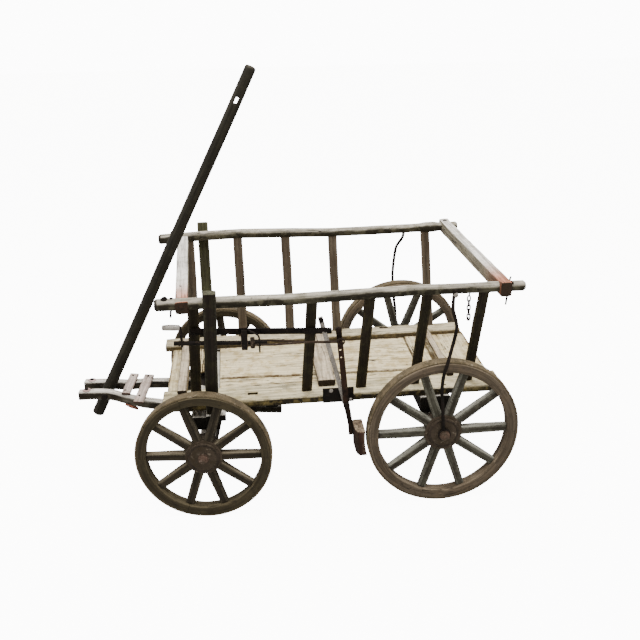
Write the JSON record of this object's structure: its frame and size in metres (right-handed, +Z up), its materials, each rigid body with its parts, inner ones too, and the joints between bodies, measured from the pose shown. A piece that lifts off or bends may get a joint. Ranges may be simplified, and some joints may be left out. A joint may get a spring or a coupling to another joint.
{
  "type": "wooden handcart",
  "caption": "Weathered four-wheeled wooden handcart with ladder sides, board floor, steered front axle with tow pole, and a screw brake on a rear wheel.",
  "frame": {"origin": "middle of the bounding box at ground level", "axes": "+X to the front, where the tow pole is; +Y to the cart's left; +Z up"},
  "size_m": [1.3782, 0.8176, 1.3006],
  "materials": {
    "bed_boards": "silvered bare boards, weathered",
    "frame_wood": "dark weathered wood",
    "wheel_wood": "dark weathered wood with grey edges",
    "old_iron": "dark rusty forged iron",
    "brake_block_wood": "worn red-brown wood"
  },
  "bodies": {
    "bed": {"batten_front": "bed_boards", "batten_middle": "bed_boards", "batten_rear": "bed_boards", "board_axle": "bed_boards", "board_broken": "bed_boards", "board_front": "bed_boards", "board_rear": "bed_boards", "brake_bracket": "old_iron", "brake_guide": "old_iron", "crossboard_front": "bed_boards", "crossboard_rear": "bed_boards", "front_bolster": "frame_wood", "plank_left": "bed_boards", "plank_right": "bed_boards", "rail_left": "frame_wood", "rail_right": "frame_wood", "rear_axle": "old_iron", "rear_axle_beam": "frame_wood", "sill_left": "bed_boards", "sill_right": "bed_boards", "slat_left_1": "frame_wood", "slat_left_3": "frame_wood", "slat_left_4": "frame_wood", "slat_left_5": "frame_wood", "slat_left_6": "frame_wood", "slat_right_1": "frame_wood", "slat_right_2": "frame_wood", "slat_right_3": "frame_wood", "slat_right_4": "frame_wood", "slat_right_6": "frame_wood", "stake_left": "frame_wood", "stake_right": "frame_wood", "stay_left": "old_iron", "stay_right": "old_iron"},
    "carriage": {"front_axle_beam": "frame_wood", "front_axle": "old_iron", "arm_left": "frame_wood", "arm_right": "frame_wood", "plate_front": "frame_wood", "plate_rear": "frame_wood", "pole_pin": "old_iron", "friction_bar": "frame_wood", "carriage_bolster": "frame_wood"},
    "wheel_front_left": {"tyre_front_left": "old_iron", "rim_front_left": "wheel_wood", "nave_front_left": "wheel_wood"},
    "wheel_front_right": {"tyre_front_right": "old_iron", "rim_front_right": "wheel_wood", "nave_front_right": "wheel_wood"},
    "wheel_rear_left": {"tyre_rear_left": "old_iron", "rim_rear_left": "wheel_wood", "nave_rear_left": "wheel_wood"},
    "wheel_rear_right": {"tyre_rear_right": "old_iron", "rim_rear_right": "wheel_wood", "nave_rear_right": "wheel_wood"},
    "pole": {"tow_pole": "frame_wood"},
    "crank": {"brake_spindle": "old_iron"},
    "yoke": {"brake_yoke": "old_iron"},
    "lever": {"brake_lever": "old_iron", "brake_block": "brake_block_wood"}
  },
  "joints": [
    {"name": "steering", "type": "hinge", "parent": "bed", "child": "carriage", "pos_m": [0.24292, 0, 0.25], "axis": [0, 0, 1], "range_deg": [-7, 17.5]},
    {"name": "wheel_front_left_spin", "type": "hinge", "parent": "carriage", "child": "wheel_front_left", "pos_m": [0.27603, 0.35285, 0.2043], "axis": [0.0934, 0.9956, 0], "continuous": true},
    {"name": "wheel_front_right_spin", "type": "hinge", "parent": "carriage", "child": "wheel_front_right", "pos_m": [0.20982, -0.35285, 0.2043], "axis": [0.0934, 0.9956, 0], "continuous": true},
    {"name": "wheel_rear_left_spin", "type": "hinge", "parent": "bed", "child": "wheel_rear_left", "pos_m": [-0.44778, 0.3626, 0.235], "axis": [0, 1, 0], "continuous": true},
    {"name": "wheel_rear_right_spin", "type": "hinge", "parent": "bed", "child": "wheel_rear_right", "pos_m": [-0.44778, -0.3626, 0.235], "axis": [0, 1, 0], "continuous": true},
    {"name": "pole_pivot", "type": "hinge", "parent": "carriage", "child": "pole", "pos_m": [0.59806, -0.03332, 0.2575], "axis": [0.0934, 0.9956, 0], "range_deg": [-0.5, 97]},
    {"name": "brake_crank", "type": "hinge", "parent": "bed", "child": "crank", "pos_m": [0.30722, 0.3465, 0.56622], "axis": [0.9985, 0, 0.0549], "range_deg": [0, 1620]},
    {"name": "brake_yoke_slide", "type": "slide", "parent": "bed", "child": "yoke", "axis": [0.9985, 0, 0.0549], "range_m": [-0.028, 0.0001]},
    {"name": "brake_lever_pivot", "type": "hinge", "parent": "bed", "child": "lever", "pos_m": [-0.15728, 0.333, 0.3285], "axis": [0, -1, 0], "range_deg": [-0.05, 7.6]}
  ],
  "couplings": [
    {"joint": "brake_yoke_slide", "follows": "brake_crank", "m_per_rad": -0.00098676},
    {"joint": "brake_lever_pivot", "follows": "brake_crank", "ratio": 0.0046296}
  ]
}
